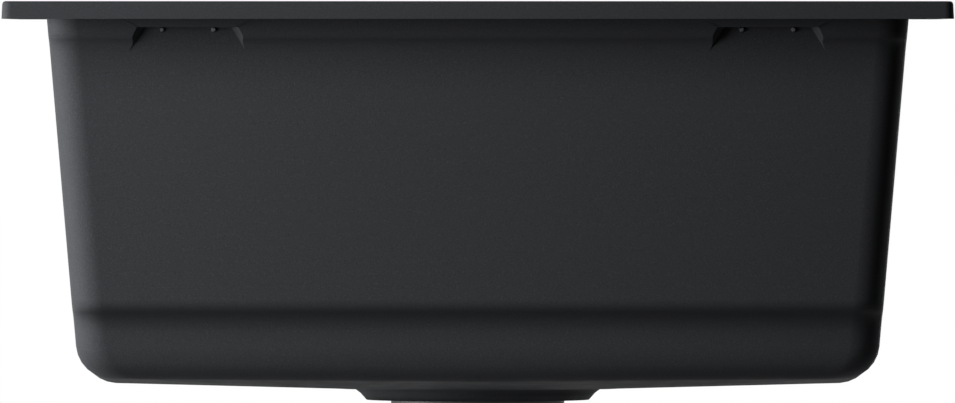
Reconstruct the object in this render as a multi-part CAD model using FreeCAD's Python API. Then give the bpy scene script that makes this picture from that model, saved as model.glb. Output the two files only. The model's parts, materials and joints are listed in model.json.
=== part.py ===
"""Drop-in kitchen sink of moulded stone composite, with its basket strainer. Sizes in millimetres.

The origin is the centre of the worktop's cut-out, on the worktop's surface, which the rim's underside
rests on. +X runs to the right, +Y to the back edge with the tap holes, and +Z up.
The bowl's front and rear walls step inwards twice on their way down: once under the rim, where the ledge
for sliding accessories runs inside, and once near the floor, where a rack can stand. The side walls are
straight. The front and rear walls have clip pockets under the rim.
"""

import FreeCAD
import Part
import math
import os

Vector = FreeCAD.Vector

# Rim
rim_width = 635.0
rim_depth = 559.0
rim_thickness = 11.8
rim_corner_radius = 6.5
rim_top_round = 2.0
rim_edge_draft_deg = 3.0
side_overhang = 29.2
front_overhang = 30.5
rear_deck = 73.5
opening_lip_radius = 4.0

# Bowl walls
wall = 10.0
wall_draft_deg = 4.8
bowl_corner_radius = 21.0

# Upper step, under the rim
band_height = 12.5
band_step = 10.8
band_outer_radius = 6.1
band_hollow_radius = 9.9
ledge_drop = 12.2
ledge_root_radius = 2.0
ledge_nose_radius = 3.0

# Lower step, near the floor
lower_step_depth = 194.8
lower_step = 16.9
lower_outer_radius = 10.2
lower_hollow_radius = 14.8
lower_ledge_cover = 10.0
lower_ledge_root_radius = 4.0
lower_ledge_nose_radius = 6.0
step_slope_deg = 15.0
ledge_slope_deg = 4.0

# Floor: its edge lies highest at the bowl's four corners and sags to the middle of each wall
floor_edge_depth = 242.2
floor_thickness = 10.5
floor_round = 24.5
floor_front_sag = 2.0
floor_side_sag = 5.4
floor_round_end_deg = 87.0
floor_flat_margin = 2.0
drain_floor_depth = 250.2

# Drain boss
boss_height = 8.6
boss_radius = 75.7
boss_flank_deg = 48.0
boss_flare_radius = 11.7
drain_hole_radius = 45.0
drain_recess_radius = 58.5
drain_recess_depth = 3.6

# Clip pockets
pocket_offset = 193.8
pocket_roof_depth = 5.5
pocket_height = 14.5
pocket_back_inset = 12.3
pocket_top_half_width = 28.9
pocket_tip_half_width = 38.0
pocket_flank_slope_deg = 22.4
roof_proud = 2.5
roof_end_run = 10.4
roof_flank_run = 2.6
nub_radius = 2.2
nub_tip_radius = 1.1
nub_spacing = 34.6
nub_drop = 1.6
nub_height = 3.0
nub_sides = 8

# Tap holes in the rear deck
tap_hole_radius = 17.5
tap_hole_setback = 38.0
knock_out_spacing = 101.6
knock_out_skin = 3.0

# Strainer body
flange_radius = 56.8
flange_thickness = 2.0
flange_seal_thickness = 1.1
seal_inner_gap = 0.6
thread_radius = 42.4
cup_wall = 1.5
shoulder_drop = 11.5
shoulder_width = 2.2
thread_end_drop = 35.4
cup_depth = 51.4
cup_foot_bevel = 1.4
cup_floor_wall = 2.0
outlet_radius = 24.1
outlet_bore_radius = 20.6
outlet_length = 16.0

# Under the boss
sealing_washer_thickness = 3.5
sealing_washer_radius = 59.0
thread_gap = 0.1
lock_nut_height = 11.0
lock_nut_radius = 50.0
lock_nut_lug_length = 7.0
lock_nut_lug_width = 9.0
lock_nut_lugs = 6

# Basket
basket_gap = 0.3
basket_wall = 1.0
basket_lip_radius = 40.4
basket_lip_thickness = 2.4
basket_floor_slots = 12
basket_floor_slot_start = 12.0
basket_floor_slot_end = 31.0
basket_floor_slot_width = 3.2
basket_side_slots = 12
basket_side_slot_drop = 3.0
basket_side_slot_height = 11.0
basket_side_slot_width = 2.4
collar_wall = 1.6
collar_height = 8.0

# Stopper
post_radius = 4.0
post_gap = 0.08
post_thread_radius = 3.0
post_tip = 1.0
knob_radius = 11.0
knob_height = 9.0
knob_neck_radius = 5.6
knob_neck_height = 3.0
knob_top_drop = 1.0
stopper_plate_radius = 20.0
stopper_plate_thickness = 1.0
stopper_travel = 7.0
stopper_seal_radius = 24.0
stopper_seal_thickness = 4.0
stopper_plug_radius = 19.2
stopper_plug_depth = 1.5
stopper_nut_height = 4.0
stopper_nut_flats_radius = 5.5

# Modelling: how far cuts run past a face, and how far a round's strips may stray from its true arc
overrun = 5.0
corner_chords = 4
step_chord_error = 0.4
floor_chord_error = 0.2

# Derived places
draft = math.tan(math.radians(wall_draft_deg))
bowl_half_width = rim_width / 2 - side_overhang
bowl_front = -rim_depth / 2 + front_overhang
bowl_rear = rim_depth / 2 - rear_deck
drain_y = (bowl_front + bowl_rear) / 2
boss_bottom = -(drain_floor_depth + boss_height)
drain_inner_depth = drain_floor_depth - floor_thickness
recess_floor = -(drain_inner_depth + drain_recess_depth)
flange_under = recess_floor + flange_seal_thickness
flange_top = flange_under + flange_thickness
shoulder = flange_top - shoulder_drop
cup_floor = flange_top - cup_depth
outlet_end = cup_floor - cup_floor_wall - outlet_length
cup_bore_radius = thread_radius - cup_wall
stopper_plate_top = cup_floor + stopper_seal_thickness + stopper_plate_thickness
lower_bore_radius = cup_bore_radius - shoulder_width
basket_bottom = stopper_plate_top + stopper_travel + basket_gap
basket_floor_top = basket_bottom + basket_wall
basket_radius = lower_bore_radius - basket_gap
stopper_seal_top = cup_floor + stopper_seal_thickness
stopper_plug_bottom = cup_floor - stopper_plug_depth
stopper_nut_bottom = stopper_plug_bottom - stopper_nut_height
boss_flank_top = boss_radius + boss_height / math.tan(math.radians(boss_flank_deg))
boss_flare_start = boss_flank_top + boss_flare_radius * math.tan(math.radians(boss_flank_deg) / 2)


def ring_points(half_width, front, rear, radius, z, front_sag=0.0, side_sag=0.0):
    """The corners of a rounded rectangle. Its sides are split in the middle, where they can sag.

    A middle that sags moves inwards by the wall's draft, so that it stays on the wall.
    """
    middle = (front + rear) / 2
    side = half_width - side_sag * draft
    inwards = front_sag * draft
    sides = [
        (half_width - radius, front + radius, -90, Vector(side, middle, z - side_sag)),
        (half_width - radius, rear - radius, 0, Vector(0, rear - inwards, z - front_sag)),
        (radius - half_width, rear - radius, 90, Vector(-side, middle, z - side_sag)),
        (radius - half_width, front + radius, 180, Vector(0, front + inwards, z - front_sag)),
    ]
    points = []
    for x, y, start_deg, side_middle in sides:
        for chord in range(corner_chords + 1):
            angle = math.radians(start_deg + 90 * chord / corner_chords)
            points.append(Vector(x + radius * math.cos(angle), y + radius * math.sin(angle), z))
        points.append(side_middle)
    return points + points[:1]


def ring(*sizes):
    return Part.makePolygon(ring_points(*sizes))


def strip_count(radius, turn, chord_error):
    """How many flat strips keep a round within chord_error of its true arc."""
    widest = 2 * math.acos(max(0, 1 - chord_error / radius))
    return max(1, math.ceil(abs(turn) / widest))


def rounded_profile(corners, chord_error):
    """The points of an outline whose corners are rounded in strips.

    corners holds (across, along, radius) values. A radius of 0 keeps a corner sharp.
    """
    points = [Vector(corners[0][0], corners[0][1], 0)]
    for before, here, after in zip(corners[:-2], corners[1:-1], corners[2:]):
        corner = Vector(here[0], here[1], 0)
        radius = here[2]
        if radius == 0:
            points.append(corner)
            continue
        arriving = (corner - Vector(before[0], before[1], 0)).normalize()
        leaving = (Vector(after[0], after[1], 0) - corner).normalize()
        turn = math.atan2(arriving.cross(leaving).z, arriving.dot(leaving))
        start = corner - arriving * (radius * math.tan(abs(turn) / 2))
        arm = Vector(arriving.y, -arriving.x, 0) * math.copysign(radius, turn)
        centre = start - arm
        strips = strip_count(radius, turn, chord_error)
        for strip in range(strips + 1):
            angle = turn * strip / strips
            turned = Vector(
                arm.x * math.cos(angle) - arm.y * math.sin(angle),
                arm.x * math.sin(angle) + arm.y * math.cos(angle),
                0,
            )
            points.append(centre + turned)
    points.append(Vector(corners[-1][0], corners[-1][1], 0))
    return points


def wall_ring(inset, depth, corner_radius, wall_inset):
    """The bowl's section at a depth. inset counts from the bowl's front line, which the draft is part of."""
    half_width = bowl_half_width - wall_inset - depth * draft
    return ring(half_width, bowl_front + inset, bowl_rear - inset, corner_radius, -depth)


def wall_rings(corners, corner_radius, wall_inset):
    points = rounded_profile(corners, step_chord_error)
    return [wall_ring(point.x, point.y, corner_radius, wall_inset) for point in points]


def flat_face(points):
    return Part.Face(Part.makePolygon(points + points[:1]))


def bowl_block(corners, corner_radius, wall_inset, radius, flat_half_width, flat_depth):
    """A closed block with the bowl's walls, the round into the floor, and the floor.

    The walls follow corners from the top down. The round sags between the bowl's corners. The floor falls
    from it to a flat square round the drain. Its faces are three-sided, so flat, and meet in ridges that
    run from the middle of each wall to the square's corners.
    """
    last_inset, start_depth, sharp = corners[-1]
    first = math.radians(wall_draft_deg)
    last = math.radians(floor_round_end_deg)
    strips = strip_count(radius, last - first, floor_chord_error)
    rings = wall_rings(corners, corner_radius, wall_inset)[:-1]
    for strip in range(strips + 1):
        angle = first + (last - first) * strip / strips
        inwards = radius * (math.cos(first) - math.cos(angle))
        depth = start_depth + radius * (math.sin(angle) - math.sin(first))
        half_width = bowl_half_width - wall_inset - start_depth * draft - inwards
        front = bowl_front + last_inset + inwards
        rear = bowl_rear - last_inset - inwards
        edge = ring_points(half_width, front, rear, corner_radius, -depth, floor_front_sag, floor_side_sag)
        rings.append(Part.makePolygon(edge))
    flat = ring_points(
        flat_half_width, drain_y - flat_half_width, drain_y + flat_half_width, corner_radius, -flat_depth
    )
    faces = Part.makeLoft(rings, False, True).Faces
    points_per_side = corner_chords + 2
    for index in range(len(edge) - 1):
        here, after = edge[index], edge[index + 1]
        inner, inner_after = flat[index], flat[index + 1]
        if (index + 1) % points_per_side == 0:
            faces.append(flat_face([here, after, inner_after]))
            faces.append(flat_face([here, inner_after, inner]))
        else:
            faces.append(flat_face([here, after, inner]))
            faces.append(flat_face([after, inner_after, inner]))
    faces.append(Part.Face(rings[0]))
    faces.append(Part.Face(Part.makePolygon(flat)))
    shell = Part.makeShell(faces)
    shell.sewShape()
    solid = Part.makeSolid(shell)
    if solid.Volume < 0:
        solid.reverse()
    return solid


def floor_start(edge_depth, radius):
    """Depth at which a wall's draft runs into the floor's round."""
    first = math.radians(wall_draft_deg)
    last = math.radians(floor_round_end_deg)
    return edge_depth - radius * (math.sin(last) - math.sin(first))


def outer_bowl():
    """The bowl's outside as one closed block, from inside the rim down to the drain boss."""
    step_fall = math.tan(math.radians(step_slope_deg))
    band_top = -rim_thickness / 2
    start_depth = floor_start(floor_edge_depth, floor_round)
    steps = band_step + lower_step
    corners = [
        (band_top * draft, band_top, 0),
        (band_height * draft, band_height, band_outer_radius),
        (band_height * draft + band_step, band_height + band_step * step_fall, band_hollow_radius),
        (band_step + lower_step_depth * draft, lower_step_depth, lower_outer_radius),
        (steps + lower_step_depth * draft, lower_step_depth + lower_step * step_fall, lower_hollow_radius),
        (steps + start_depth * draft, start_depth, 0),
    ]
    flat_half_width = boss_flare_start + floor_flat_margin
    return bowl_block(corners, bowl_corner_radius, 0, floor_round, flat_half_width, drain_floor_depth)


def cavity():
    """The space inside the bowl, with both ledges and the dished floor. It runs out above the rim."""
    ledge_fall = math.tan(math.radians(ledge_slope_deg))
    top_depth = -rim_thickness - overrun
    ledge_depth = ledge_drop - rim_thickness
    lower_depth = lower_step_depth - lower_ledge_cover
    inner_round = floor_round - wall
    start_depth = floor_start(floor_edge_depth - floor_thickness, inner_round)
    corner_radius = bowl_corner_radius - wall
    steps = band_step + lower_step
    corners = [
        (wall + top_depth * draft, top_depth, 0),
        (wall + ledge_depth * draft, ledge_depth, ledge_root_radius),
        (wall + ledge_depth * draft + band_step, ledge_depth + band_step * ledge_fall, ledge_nose_radius),
        (wall + band_step + lower_depth * draft, lower_depth, lower_ledge_root_radius),
        (wall + steps + lower_depth * draft, lower_depth + lower_step * ledge_fall, lower_ledge_nose_radius),
        (wall + steps + start_depth * draft, start_depth, 0),
    ]
    flat_half_width = drain_recess_radius + floor_flat_margin
    return bowl_block(corners, corner_radius, wall, inner_round, flat_half_width, drain_inner_depth)


def opening_lip():
    """What the rounded lip round the bowl's opening takes away. Its end strips run on past the faces."""
    edge = wall - rim_thickness * draft
    below = wall - opening_lip_radius * draft
    corners = [
        (edge - opening_lip_radius * 2, -rim_thickness, 0),
        (edge, -rim_thickness, opening_lip_radius),
        (below, -opening_lip_radius, 0),
    ]
    points = rounded_profile(corners, step_chord_error)[1:-1]
    points[0] += points[0] - points[1]
    points[-1] += points[-1] - points[-2]
    rings = []
    for point in points:
        rings.append(
            ring(
                bowl_half_width - point.x,
                bowl_front + point.x,
                bowl_rear - point.x,
                bowl_corner_radius - point.x,
                -point.y,
            )
        )
    return Part.makeLoft(rings, True, True)


def rim_plate():
    inwards = rim_thickness * math.tan(math.radians(rim_edge_draft_deg))
    corners = [
        (0, 0, 0),
        (inwards, rim_thickness, rim_top_round),
        (inwards + rim_top_round * 2, rim_thickness, 0),
    ]
    rings = []
    for point in rounded_profile(corners, step_chord_error)[:-1]:
        front = -rim_depth / 2 + point.x
        rings.append(ring(rim_width / 2 - point.x, front, -front, rim_corner_radius - point.x, point.y))
    return Part.makeLoft(rings, True, True)


def revolved(corners):
    """A ring or disc about the drain's axis, from the (radius, z) corners of its half section."""
    outline = [Vector(radius, drain_y, z) for radius, z in corners + corners[:1]]
    return Part.Face(Part.makePolygon(outline)).revolve(Vector(0, drain_y, 0), Vector(0, 0, 1), 360)


def cylinder(radius, bottom, top, x=0.0, y=drain_y):
    return Part.makeCylinder(radius, top - bottom, Vector(x, y, bottom))


def drain_boss():
    """The boss under the floor that the strainer is clamped to. Its flank flares out into the floor."""
    floor = -drain_floor_depth
    beyond = (boss_flare_start + boss_flare_radius, floor, 0)
    flank_top = (boss_flank_top, floor, boss_flare_radius)
    flank_bottom = (boss_radius, boss_bottom, 0)
    flare = rounded_profile([beyond, flank_top, flank_bottom], step_chord_error)[1:]
    corners = [(0, floor + wall / 2), (boss_flare_start, floor + wall / 2)]
    corners += [(point.x, point.y) for point in flare]
    corners.append((0, boss_bottom))
    return revolved(corners)


def trapezium(inset, half_top, half_bottom, top_depth, bottom_depth):
    """An upright outline in front of the front wall, as a wire. inset counts from the bowl's front line."""
    y = bowl_front + inset
    points = [
        Vector(-half_top, y, -top_depth),
        Vector(half_top, y, -top_depth),
        Vector(half_bottom, y, -bottom_depth),
        Vector(-half_bottom, y, -bottom_depth),
    ]
    return Part.makePolygon(points + points[:1])


def pocket_tools():
    """What one clip pocket cuts from the front wall, and the roof and nubs that it adds."""
    flank = math.tan(math.radians(pocket_flank_slope_deg))
    spread = (pocket_tip_half_width - pocket_top_half_width) / pocket_height
    bottom_depth = pocket_roof_depth + pocket_height + overrun
    half_top = pocket_top_half_width
    half_bottom = half_top + spread * (pocket_height + overrun)
    reach = pocket_back_inset + roof_proud + overrun
    back = trapezium(pocket_back_inset, half_top, half_bottom, pocket_roof_depth, bottom_depth)
    front = trapezium(
        pocket_back_inset - reach,
        half_top + flank * reach,
        half_bottom + flank * reach,
        pocket_roof_depth,
        bottom_depth,
    )
    recess = Part.makeLoft([back, front], True, True)

    base_bottom = half_top + flank * pocket_back_inset
    base_top = base_bottom + roof_end_run
    base = trapezium(wall / 2, base_top, base_bottom, 0, pocket_roof_depth)
    foot = trapezium(0, base_top, base_bottom, 0, pocket_roof_depth)
    face = trapezium(
        -roof_proud, base_top - roof_flank_run, base_bottom - roof_flank_run, 0, pocket_roof_depth
    )
    roof = Part.makeLoft([base, foot, face], True, True)

    nubs = []
    for side in (-1, 1):
        outlines = []
        for radius, inset in (
            (nub_radius, pocket_back_inset + wall / 2),
            (nub_radius, pocket_back_inset),
            (nub_tip_radius, pocket_back_inset - nub_height),
        ):
            corners = []
            for index in range(nub_sides):
                angle = 2 * math.pi * index / nub_sides
                x = side * nub_spacing / 2 + radius * math.cos(angle)
                z = radius * math.sin(angle) - pocket_roof_depth - nub_drop
                corners.append(Vector(x, bowl_front + inset, z))
            outlines.append(Part.makePolygon(corners + corners[:1]))
        nubs.append(Part.makeLoft(outlines, True, True))
    return recess, roof, nubs


def pocket_places():
    """Where the four pockets are: how far along the wall, and whether it is the rear wall."""
    return [(side * pocket_offset, at_rear) for side in (-1, 1) for at_rear in (False, True)]


def placed(tool, x, at_rear):
    moved = tool.copy()
    moved.translate(Vector(x, 0, 0))
    if at_rear:
        moved = moved.mirror(Vector(0, drain_y, 0), Vector(0, 1, 0))
    return moved


def sink_body():
    body = rim_plate().fuse([outer_bowl(), drain_boss()]).cut([cavity(), opening_lip()])
    recess, roof, nubs = pocket_tools()
    places = pocket_places()
    body = body.fuse([placed(roof, x, rear) for x, rear in places])
    body = body.cut([placed(recess, x, rear) for x, rear in places])
    body = body.fuse([placed(nub, x, rear) for x, rear in places for nub in nubs])
    tools = [cylinder(drain_recess_radius, recess_floor, -drain_inner_depth + overrun)]
    tools.append(cylinder(drain_hole_radius, boss_bottom - overrun, -drain_inner_depth))
    tap_y = rim_depth / 2 - tap_hole_setback
    tools.append(cylinder(tap_hole_radius, -overrun, rim_thickness + overrun, 0, tap_y))
    for side in (-1, 1):
        blind_top = rim_thickness - knock_out_skin
        tools.append(cylinder(tap_hole_radius, -overrun, blind_top, side * knock_out_spacing, tap_y))
    return body.cut(tools).removeSplitter()


def strainer_body():
    """The steel cup with its flange, thread, shoulder for the basket and outlet."""
    thread_end = flange_top - thread_end_drop
    outer = lower_bore_radius + cup_wall
    cup_under = cup_floor - cup_floor_wall
    return revolved(
        [
            (flange_radius, flange_under),
            (flange_radius, flange_top),
            (cup_bore_radius, flange_top),
            (cup_bore_radius, shoulder),
            (lower_bore_radius, shoulder),
            (lower_bore_radius, cup_floor),
            (outlet_bore_radius, cup_floor),
            (outlet_bore_radius, outlet_end),
            (outlet_radius, outlet_end),
            (outlet_radius, cup_under),
            (outer - cup_foot_bevel, cup_under),
            (outer, cup_under + cup_foot_bevel),
            (outer, thread_end),
            (thread_radius, thread_end),
            (thread_radius, flange_under),
        ]
    )


def washer(inner, outer, bottom, top):
    return revolved([(inner, bottom), (outer, bottom), (outer, top), (inner, top)])


def flange_seal():
    return washer(drain_hole_radius + seal_inner_gap, flange_radius, recess_floor, flange_under)


def around_drain(tool, count):
    """Copies of a tool turned round the drain's axis."""
    copies = []
    for index in range(count):
        turned = tool.copy()
        turned.rotate(Vector(0, drain_y, 0), Vector(0, 0, 1), 360 * index / count)
        copies.append(turned)
    return copies


def spoke(start, end, width, bottom, top):
    """A bar that runs outwards from the drain's axis, to the right."""
    return Part.makeBox(end - start, width, top - bottom, Vector(start, drain_y - width / 2, bottom))


def under_boss_rings():
    """The rubber washer under the boss and the lock nut below it."""
    inner = thread_radius + thread_gap
    washer_bottom = boss_bottom - sealing_washer_thickness
    nut_bottom = washer_bottom - lock_nut_height
    sealing = washer(inner, sealing_washer_radius, washer_bottom, boss_bottom)
    nut = washer(inner, lock_nut_radius, nut_bottom, washer_bottom)
    lug_start = (inner + lock_nut_radius) / 2
    lug_end = lock_nut_radius + lock_nut_lug_length
    lug = spoke(lug_start, lug_end, lock_nut_lug_width, nut_bottom, washer_bottom)
    return sealing, nut.fuse(around_drain(lug, lock_nut_lugs)).removeSplitter()


def basket():
    """The lift-out basket: a rolled lip on the shoulder, slots in side and floor, and a collar for the post."""
    lip_top = shoulder + basket_lip_thickness
    inner_radius = basket_radius - basket_wall
    bore = post_radius + post_gap
    shell = revolved(
        [
            (bore, basket_bottom),
            (basket_radius, basket_bottom),
            (basket_radius, shoulder),
            (basket_lip_radius, shoulder),
            (basket_lip_radius, lip_top),
            (inner_radius, lip_top),
            (inner_radius, basket_floor_top),
            (bore + collar_wall, basket_floor_top),
            (bore + collar_wall, basket_floor_top + collar_height),
            (bore, basket_floor_top + collar_height),
        ]
    )
    floor_slot = spoke(
        basket_floor_slot_start,
        basket_floor_slot_end,
        basket_floor_slot_width,
        basket_bottom - overrun,
        basket_floor_top + overrun,
    )
    slot_top = shoulder - basket_side_slot_drop
    side_slot = spoke(
        inner_radius - overrun,
        basket_radius + overrun,
        basket_side_slot_width,
        slot_top - basket_side_slot_height,
        slot_top,
    )
    tools = around_drain(floor_slot, basket_floor_slots) + around_drain(side_slot, basket_side_slots)
    return shell.cut(tools)


def stopper_post():
    """The turned post: a knob, a stem that slides in the basket's collar, a plate and a threaded end."""
    knob_top = flange_top - knob_top_drop
    knob_base = knob_top - knob_height
    return revolved(
        [
            (0, knob_top),
            (knob_radius, knob_top),
            (knob_radius, knob_base),
            (knob_neck_radius, knob_base),
            (knob_neck_radius, knob_base - knob_neck_height),
            (post_radius, knob_base - knob_neck_height),
            (post_radius, stopper_plate_top),
            (stopper_plate_radius, stopper_plate_top),
            (stopper_plate_radius, stopper_seal_top),
            (post_thread_radius, stopper_seal_top),
            (post_thread_radius, stopper_nut_bottom - post_tip),
            (0, stopper_nut_bottom - post_tip),
        ]
    )


def stopper_seal():
    """The rubber disc that closes the outlet, with a low plug that enters it."""
    return revolved(
        [
            (post_thread_radius, stopper_plug_bottom),
            (stopper_plug_radius, stopper_plug_bottom),
            (stopper_plug_radius, cup_floor),
            (stopper_seal_radius, cup_floor),
            (stopper_seal_radius, stopper_seal_top),
            (post_thread_radius, stopper_seal_top),
        ]
    )


def stopper_nut():
    """The small hexagon nut under the plug."""
    corner_radius = stopper_nut_flats_radius / math.cos(math.radians(30))
    corners = []
    for index in range(6):
        angle = math.radians(60 * index)
        x = corner_radius * math.cos(angle)
        corners.append(Vector(x, drain_y + corner_radius * math.sin(angle), stopper_nut_bottom))
    nut = flat_face(corners).extrude(Vector(0, 0, stopper_nut_height))
    return nut.cut(cylinder(post_thread_radius, stopper_nut_bottom - overrun, stopper_plug_bottom + overrun))


def main():
    os.makedirs("parts", exist_ok=True)
    sealing_washer, lock_nut = under_boss_rings()
    nodes = {
        "sink_body": sink_body(),
        "strainer_body": strainer_body(),
        "flange_seal": flange_seal(),
        "sealing_washer": sealing_washer,
        "lock_nut": lock_nut,
        "basket": basket(),
        "stopper_post": stopper_post(),
        "stopper_seal": stopper_seal(),
        "stopper_nut": stopper_nut(),
    }
    for name, shape in nodes.items():
        print(name, shape.isValid(), len(shape.Solids), round(shape.Volume))
        shape.exportStep(os.path.join("parts", name + ".step"))


main()
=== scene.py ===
import bpy
import json
import math

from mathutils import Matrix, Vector


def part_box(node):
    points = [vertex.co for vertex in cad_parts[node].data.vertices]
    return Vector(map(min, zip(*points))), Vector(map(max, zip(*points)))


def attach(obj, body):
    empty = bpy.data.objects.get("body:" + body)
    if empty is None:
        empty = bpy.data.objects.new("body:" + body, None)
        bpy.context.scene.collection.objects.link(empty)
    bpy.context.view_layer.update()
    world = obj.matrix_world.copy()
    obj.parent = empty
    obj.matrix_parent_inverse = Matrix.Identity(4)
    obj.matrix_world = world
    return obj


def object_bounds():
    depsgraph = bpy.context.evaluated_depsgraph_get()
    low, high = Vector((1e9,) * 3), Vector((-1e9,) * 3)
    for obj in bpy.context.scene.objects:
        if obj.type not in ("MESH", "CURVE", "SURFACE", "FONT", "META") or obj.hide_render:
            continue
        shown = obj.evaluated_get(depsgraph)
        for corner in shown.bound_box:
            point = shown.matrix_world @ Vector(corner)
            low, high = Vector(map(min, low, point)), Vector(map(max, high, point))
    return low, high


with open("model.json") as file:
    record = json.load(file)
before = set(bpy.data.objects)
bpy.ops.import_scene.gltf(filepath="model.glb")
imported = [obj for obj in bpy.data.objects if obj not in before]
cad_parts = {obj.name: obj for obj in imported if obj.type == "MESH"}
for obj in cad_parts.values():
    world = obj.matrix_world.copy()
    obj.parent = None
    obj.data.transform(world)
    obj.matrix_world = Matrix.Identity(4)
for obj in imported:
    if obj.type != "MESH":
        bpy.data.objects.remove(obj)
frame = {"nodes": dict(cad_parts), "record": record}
cad_low, cad_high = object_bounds()
nodes = frame["nodes"]
bpy.ops.object.select_all(action="DESELECT")


# Sink body: rim, bowl, inner ledges, drain boss and clip pockets, cast in one from quartz sand and black
# acrylic resin. Its skin is left as it comes out of the mould, dull and finely grained. The tips of the nubs
# that the mounting clips snap over carry a painted highlight: they are painted paler than the resin.

def new_material(name):
    """An empty node material with its shader, ready for a pattern."""
    material = bpy.data.materials.new(name)
    material.use_nodes = True
    tree = material.node_tree
    return material, tree, tree.nodes["Principled BSDF"]


def add_node(tree, kind, **values):
    """A shader node, with its settings by name and its sockets by title."""
    node = tree.nodes.new(kind)
    for key, value in values.items():
        if key in node.inputs:
            node.inputs[key].default_value = value
        else:
            setattr(node, key, value)
    return node


def object_noise(tree, scale, detail=2.0, rough=0.5):
    """Noise fixed to the object, with about scale grains to a metre."""
    place = add_node(tree, "ShaderNodeTexCoord")
    noise = add_node(tree, "ShaderNodeTexNoise", Scale=scale, Detail=detail, Roughness=rough)
    tree.links.new(place.outputs["Object"], noise.inputs["Vector"])
    return noise.outputs["Fac"]


def ramp(tree, source, stops):
    """Turns a pattern's values into colours. stops are (place, colour) pairs."""
    node = add_node(tree, "ShaderNodeValToRGB")
    tree.links.new(source, node.inputs["Fac"])
    elements = node.color_ramp.elements
    while len(elements) < len(stops):
        elements.new(0.5)
    for element, (place, colour) in zip(elements, stops):
        element.position = place
        element.color = (*colour, 1.0)
    return node.outputs["Color"]


def spread(tree, source, low, high, source_low=0.3, source_high=0.7):
    """Maps source_low to source_high onto low to high. Most of a noise lies between 0.3 and 0.7."""
    node = add_node(tree, "ShaderNodeMapRange")
    node.inputs["From Min"].default_value = source_low
    node.inputs["From Max"].default_value = source_high
    node.inputs["To Min"].default_value = low
    node.inputs["To Max"].default_value = high
    tree.links.new(source, node.inputs["Value"])
    return node.outputs["Result"]


def add_bump(tree, shader, source, depth, strength):
    """Raises the pattern by depth, in metres."""
    bump = add_node(tree, "ShaderNodeBump", Strength=strength, Distance=depth)
    tree.links.new(source, bump.inputs["Height"])
    tree.links.new(bump.outputs["Normal"], shader.inputs["Normal"])


weld_distance = 1e-5
flat_within_deg = 0.4
edge_segments = 2


def dress(node_name, material, edge_width, sharp_deg=30.0):
    """Gives a CAD node its material, joins its triangles and rounds its sharp edges."""
    piece = nodes[node_name]
    piece.data.materials.clear()
    piece.data.materials.append(material)
    piece.data.polygons.foreach_set("use_smooth", [True] * len(piece.data.polygons))
    weld = piece.modifiers.new("weld", "WELD")
    weld.merge_threshold = weld_distance
    flat = piece.modifiers.new("flat", "DECIMATE")
    flat.decimate_type = "DISSOLVE"
    flat.angle_limit = math.radians(flat_within_deg)
    bevel = piece.modifiers.new("edges", "BEVEL")
    bevel.width = edge_width
    bevel.segments = edge_segments
    bevel.limit_method = "ANGLE"
    bevel.angle_limit = math.radians(sharp_deg)
    even = piece.modifiers.new("even", "WEIGHTED_NORMAL")
    even.keep_sharp = True


mount_places = {mount["name"]: Vector(mount["pos_m"]) for mount in frame["record"]["mounts"]}
front_pocket = mount_places["clip_pocket_front_right"]
rear_pocket = mount_places["clip_pocket_rear_right"]
pockets_middle_y = (front_pocket.y + rear_pocket.y) / 2
nub_spacing = 0.0346
nub_over_pocket_middle = 0.0057
# Where the painted highlight on the nubs sits, and how far it spreads before it fades out.
nub_highlight_height = 0.0022
nub_highlight_full_radius = 0.0011
nub_highlight_outer_radius = 0.0020


def distance_from_nub(tree):
    """How far a point is from the tip of the nearest of the eight nubs, where the painted highlight sits.

    The four pockets mirror each other, and so do a pocket's two nubs, so the point is folded onto one nub.
    """
    place = add_node(tree, "ShaderNodeTexCoord")
    source = place.outputs["Object"]
    nub_y = rear_pocket.y - pockets_middle_y + nub_highlight_height
    folds = (
        ("SUBTRACT", (0, pockets_middle_y, front_pocket.z + nub_over_pocket_middle)),
        ("ABSOLUTE", (0, 0, 0)),
        ("SUBTRACT", (front_pocket.x, nub_y, 0)),
        ("ABSOLUTE", (0, 0, 0)),
        ("SUBTRACT", (nub_spacing / 2, 0, 0)),
    )
    for operation, amount in folds:
        fold = add_node(tree, "ShaderNodeVectorMath", operation=operation)
        tree.links.new(source, fold.inputs[0])
        fold.inputs[1].default_value = amount
        source = fold.outputs["Vector"]
    length = add_node(tree, "ShaderNodeVectorMath", operation="LENGTH")
    tree.links.new(source, length.inputs[0])
    return length.outputs["Value"]


grain_scale = 1400.0
grain_depth = 0.00012
grain_strength = 0.3
cloud_scale = 60.0
skin_gloss = 0.012
dark_resin = (0.0225, 0.0235, 0.0252)
plain_resin = (0.0285, 0.0299, 0.0323)
pale_grain = (0.041, 0.0430, 0.0467)
# The pale tone of the painted highlight on the nubs' tips.
nub_highlight_tone = (0.105, 0.110, 0.119)

composite, tree, shader = new_material("black_composite")
grain = object_noise(tree, grain_scale, detail=3.0, rough=0.6)
cloud = object_noise(tree, cloud_scale)
tone = ramp(tree, grain, [(0.30, dark_resin), (0.55, plain_resin), (0.75, pale_grain)])
# Painted highlight: the nubs' tips are mixed towards a paler tone, standing in for the light they catch.
nub_highlight = spread(tree, distance_from_nub(tree), 1.0, 0.0, nub_highlight_full_radius, nub_highlight_outer_radius)
skin = add_node(tree, "ShaderNodeMixRGB", Color2=(*nub_highlight_tone, 1.0))
tree.links.new(nub_highlight, skin.inputs["Fac"])
tree.links.new(tone, skin.inputs["Color1"])
tree.links.new(skin.outputs["Color"], shader.inputs["Base Color"])
tree.links.new(spread(tree, cloud, 0.56, 0.64), shader.inputs["Roughness"])
shader.inputs["Specular IOR Level"].default_value = skin_gloss
add_bump(tree, shader, grain, grain_depth, grain_strength)
dress("sink_body", composite, edge_width=0.0004, sharp_deg=50.0)


# Strainer body: stainless steel, pressed and then polished, so that fine rings run round the drain's axis.
# Its flange lies in the recess of the sink's floor, and its threaded cup goes down through the boss.

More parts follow.
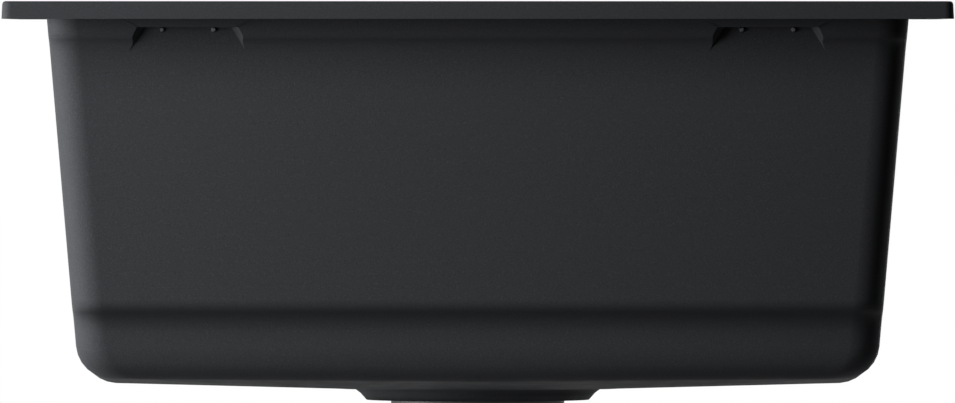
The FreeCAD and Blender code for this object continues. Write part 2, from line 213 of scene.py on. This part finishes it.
drain_low, drain_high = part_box("strainer_body")
drain_x = (drain_low.x + drain_high.x) / 2
drain_y = (drain_low.y + drain_high.y) / 2
cast_grain_scale = 700.0
mark_depth = 0.00002
mark_strength = 0.5
darker_share = 0.86
smoother_share = 0.8
rougher_share = 1.25


def steel(name, tone, rough, ring_scale=0.0):
    """Steel or zinc. ring_scale above 0 gives polishing rings round the drain's axis."""
    material, tree, shader = new_material(name)
    shader.inputs["Metallic"].default_value = 1.0
    if ring_scale > 0:
        place = add_node(tree, "ShaderNodeTexCoord")
        centre = add_node(tree, "ShaderNodeMapping")
        centre.inputs["Location"].default_value = (-drain_x, -drain_y, 0)
        centre.inputs["Scale"].default_value = (1, 1, 0)
        tree.links.new(place.outputs["Object"], centre.inputs["Vector"])
        length = add_node(tree, "ShaderNodeVectorMath", operation="LENGTH")
        tree.links.new(centre.outputs["Vector"], length.inputs[0])
        noise = add_node(tree, "ShaderNodeTexNoise", noise_dimensions="1D", Scale=ring_scale, Detail=4.0)
        tree.links.new(length.outputs["Value"], noise.inputs["W"])
        pattern = noise.outputs["Fac"]
    else:
        pattern = object_noise(tree, cast_grain_scale, detail=3.0)
    darker = [part * darker_share for part in tone]
    tree.links.new(ramp(tree, pattern, [(0.3, darker), (0.7, tone)]), shader.inputs["Base Color"])
    roughness = spread(tree, pattern, rough * smoother_share, rough * rougher_share)
    tree.links.new(roughness, shader.inputs["Roughness"])
    add_bump(tree, shader, pattern, mark_depth, mark_strength)
    return material


flange_steel = steel("flange_steel", tone=(0.60, 0.60, 0.59), rough=0.26, ring_scale=2600.0)
dress("strainer_body", flange_steel, edge_width=0.0002)


# Outlet thread: the ridge on the strainer's outlet that the tailpiece's nut screws onto. It is steel, rolled
# into the outlet's wall, and is wound here as one three-sided bar whose inner corners lie in the wall.

outlet_radius = 0.0241
thread_ridge_radius = 0.0007
thread_pitch = 0.0018
thread_turns = 7
thread_steps = 48
thread_end_gap = 0.0016
thread_weld_distance = 1e-6

turned_steel = steel("turned_steel", tone=(0.58, 0.58, 0.58), rough=0.18, ring_scale=4000.0)
bpy.ops.mesh.primitive_circle_add(
    vertices=3,
    radius=thread_ridge_radius,
    fill_type="NOTHING",
    location=(outlet_radius, drain_y, drain_low.z + thread_end_gap),
    rotation=(math.radians(90), math.radians(90), 0),
)
thread = bpy.context.object
thread.name = "outlet_thread"
bpy.ops.object.transform_apply(location=False, rotation=True, scale=False)
bpy.context.scene.cursor.location = (drain_x, drain_y, 0)
bpy.ops.object.origin_set(type="ORIGIN_CURSOR")
winding = thread.modifiers.new("winding", "SCREW")
winding.screw_offset = thread_pitch
winding.iterations = thread_turns
winding.steps = thread_steps
winding.render_steps = thread_steps
bpy.ops.object.modifier_apply(modifier="winding")
bpy.ops.object.transform_apply(location=True, rotation=False, scale=False)
bpy.ops.object.mode_set(mode="EDIT")
bpy.ops.mesh.select_all(action="SELECT")
bpy.ops.mesh.remove_doubles(threshold=thread_weld_distance)
bpy.ops.mesh.fill_holes(sides=3)
bpy.ops.mesh.select_all(action="SELECT")
bpy.ops.mesh.normals_make_consistent(inside=False)
bpy.ops.object.mode_set(mode="OBJECT")
thread.data.materials.append(turned_steel)
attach(thread, "sink")
thread.select_set(False)


# Flange seal: a flat ring of grey foam with fine closed cells. It is clamped between the strainer's flange
# and the floor of the recess, and nothing else holds it.

seal_grain_strength = 0.5
seal_smoother_share = 0.9
seal_rougher_share = 1.1


def moulded(name, low_tone, high_tone, rough, scale, depth):
    """A moulded rubber or foam with a fine grain."""
    material, tree, shader = new_material(name)
    pattern = object_noise(tree, scale, detail=3.0)
    tree.links.new(ramp(tree, pattern, [(0.35, low_tone), (0.65, high_tone)]), shader.inputs["Base Color"])
    roughness = spread(tree, pattern, rough * seal_smoother_share, rough * seal_rougher_share)
    tree.links.new(roughness, shader.inputs["Roughness"])
    add_bump(tree, shader, pattern, depth, seal_grain_strength)
    return material


grey_foam = moulded(
    "grey_foam",
    low_tone=(0.070, 0.070, 0.072),
    high_tone=(0.110, 0.110, 0.112),
    rough=0.85,
    scale=1500.0,
    depth=0.00004,
)
dress("flange_seal", grey_foam, edge_width=0.0001)


# Sealing washer: moulded black rubber with a dull bloom. It lies against the underside of the boss, round
# the strainer's thread, and the lock nut presses it there.

black_rubber = moulded(
    "black_rubber",
    low_tone=(0.016, 0.016, 0.017),
    high_tone=(0.026, 0.026, 0.027),
    rough=0.62,
    scale=900.0,
    depth=0.00005,
)
dress("sealing_washer", black_rubber, edge_width=0.0003)


# Lock nut: cast zinc, dull and slightly pitted, with lugs to turn it by. It is screwed up the strainer's
# thread until it clamps the washer, the boss and the foam ring under the flange.

cast_zinc = steel("cast_zinc", tone=(0.42, 0.42, 0.43), rough=0.42)
dress("lock_nut", cast_zinc, edge_width=0.0005)


# Basket: a cup of thin stainless steel, pressed and slotted, that lifts out with the scraps in it. Its lip
# rests on the strainer's shoulder.

pressed_steel = steel("pressed_steel", tone=(0.62, 0.62, 0.61), rough=0.22, ring_scale=1500.0)
dress("basket", pressed_steel, edge_width=0.0001)


# Stopper: a knob, stem and plate turned from stainless steel, which slide in the basket's collar. A rubber
# plug under the plate closes the outlet, and a steel nut holds the plug.

dress("stopper_post", turned_steel, edge_width=0.0003)
dress("stopper_seal", black_rubber, edge_width=0.0003)
dress("stopper_nut", turned_steel, edge_width=0.0002)


# Floor: a plain pale disc that the sink stands on. It fades out into the white of the room and keeps the
# sink's shadow. It can't be seen from below, so that the underside shows.

def seen_directly(tree):
    """1 for what the camera sees itself, in metal or through glass, and 0 for the light on the sink."""
    path = add_node(tree, "ShaderNodeLightPath")
    either = add_node(tree, "ShaderNodeMath", operation="MAXIMUM")
    tree.links.new(path.outputs["Is Camera Ray"], either.inputs[0])
    tree.links.new(path.outputs["Is Glossy Ray"], either.inputs[1])
    both = add_node(tree, "ShaderNodeMath", operation="MAXIMUM")
    tree.links.new(either.outputs["Value"], both.inputs[0])
    tree.links.new(path.outputs["Is Transmission Ray"], both.inputs[1])
    return both.outputs["Value"]


floor_radius = 0.7
floor_sides = 96
fade_start = 0.36
fade_end = 0.6
floor_tone = 0.30
floor_glow = 0.62
floor_rough = 0.9

bpy.ops.mesh.primitive_circle_add(vertices=floor_sides, radius=floor_radius, fill_type="NGON")
floor = bpy.context.object
floor.name = "floor"
floor.location = (0, 0, cad_low.z)
paper, tree, shader = new_material("floor_paper")
shader.inputs["Base Color"].default_value = (floor_tone, floor_tone, floor_tone, 1)
shader.inputs["Roughness"].default_value = floor_rough
shader.inputs["Specular IOR Level"].default_value = 0.0
shader.inputs["Emission Color"].default_value = (1, 1, 1, 1)
glow = spread(tree, seen_directly(tree), 0.0, floor_glow, 0.0, 1.0)
tree.links.new(glow, shader.inputs["Emission Strength"])
place = add_node(tree, "ShaderNodeTexCoord")
length = add_node(tree, "ShaderNodeVectorMath", operation="LENGTH")
tree.links.new(place.outputs["Object"], length.inputs[0])
fade = add_node(tree, "ShaderNodeMapRange", interpolation_type="SMOOTHSTEP")
fade.inputs["From Min"].default_value = fade_start
fade.inputs["From Max"].default_value = fade_end
fade.inputs["To Min"].default_value = 1.0
fade.inputs["To Max"].default_value = 0.0
tree.links.new(length.outputs["Value"], fade.inputs["Value"])
side = add_node(tree, "ShaderNodeNewGeometry")
from_above = spread(tree, side.outputs["Backfacing"], 1.0, 0.0, 0.0, 1.0)
shown = add_node(tree, "ShaderNodeMath", operation="MULTIPLY")
tree.links.new(fade.outputs["Result"], shown.inputs[0])
tree.links.new(from_above, shown.inputs[1])
tree.links.new(shown.outputs["Value"], shader.inputs["Alpha"])
floor.data.materials.append(paper)


# Light: soft boxes, the strongest to the left, so that the sink darkens to the right as in the photograph.
# The three behind it light its top and rear wall. The room is white where it is seen, and sheds little
# light.

middle = (cad_low + cad_high) / 2


def soft_box(name, place, size, power):
    """A square lamp that points at the sink's middle, with its power in watts."""
    light = bpy.data.lights.new(name, "AREA")
    light.shape = "SQUARE"
    light.size = size
    light.energy = power
    lamp = bpy.data.objects.new(name, light)
    bpy.context.scene.collection.objects.link(lamp)
    lamp.location = place
    lamp.rotation_mode = "QUATERNION"
    lamp.rotation_quaternion = (middle - Vector(place)).to_track_quat("-Z", "Y")


soft_box("left_side", place=(-1.594, -0.141, -0.12), size=0.6, power=63.0)
soft_box("left_front_low", place=(-0.962, -1.147, -0.007), size=0.6, power=13.0)
soft_box("left_front_high", place=(-0.965, -1.149, 0.63), size=0.6, power=19.0)
soft_box("above_back", place=(0.6, 2.2, 2.0), size=1.2, power=45.0)
soft_box("behind", place=(0.4, 2.4, 0.15), size=1.0, power=34.0)
soft_box("right_behind", place=(1.9, 1.9, 0.5), size=1.0, power=12.0)

ambient = 0.01
world = bpy.data.worlds.new("room")
bpy.context.scene.world = world
world.use_nodes = True
room = world.node_tree
background = room.nodes["Background"]
background.inputs["Color"].default_value = (1, 1, 1, 1)
strength = spread(room, seen_directly(room), ambient, 1.0, 0.0, 1.0)
room.links.new(strength, background.inputs["Strength"])


# Camera: about 12 m off on a long lens and level with the rim, as the photograph was taken. It points down a
# little, so that the sink lies in the frame as in the photograph.

photo_width_px = 955
photo_height_px = 403
rim_left_px = 1.2
rim_right_px = 954.35
rim_underside_px = 18.8
sensor = 36.0
lens = 690.0
camera_height = -0.010
camera_reach = 100.0

rim_low, rim_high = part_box("sink_body")
metres_per_px = (rim_high.x - rim_low.x) / (rim_right_px - rim_left_px)
distance = metres_per_px * photo_width_px * lens / sensor
aim = Vector(
    (
        (photo_width_px - rim_left_px - rim_right_px) / 2 * metres_per_px,
        rim_low.y,
        (rim_underside_px - photo_height_px / 2) * metres_per_px,
    )
)
camera_data = bpy.data.cameras.new("camera")
camera_data.lens = lens
camera_data.sensor_width = sensor
camera_data.clip_end = camera_reach
camera = bpy.data.objects.new("camera", camera_data)
bpy.context.scene.collection.objects.link(camera)
camera.location = (aim.x, rim_low.y - distance, camera_height)
camera.rotation_mode = "QUATERNION"
camera.rotation_quaternion = (aim - camera.location).to_track_quat("-Z", "Y")
bpy.context.scene.camera = camera
bpy.context.scene.view_settings.view_transform = "Standard"
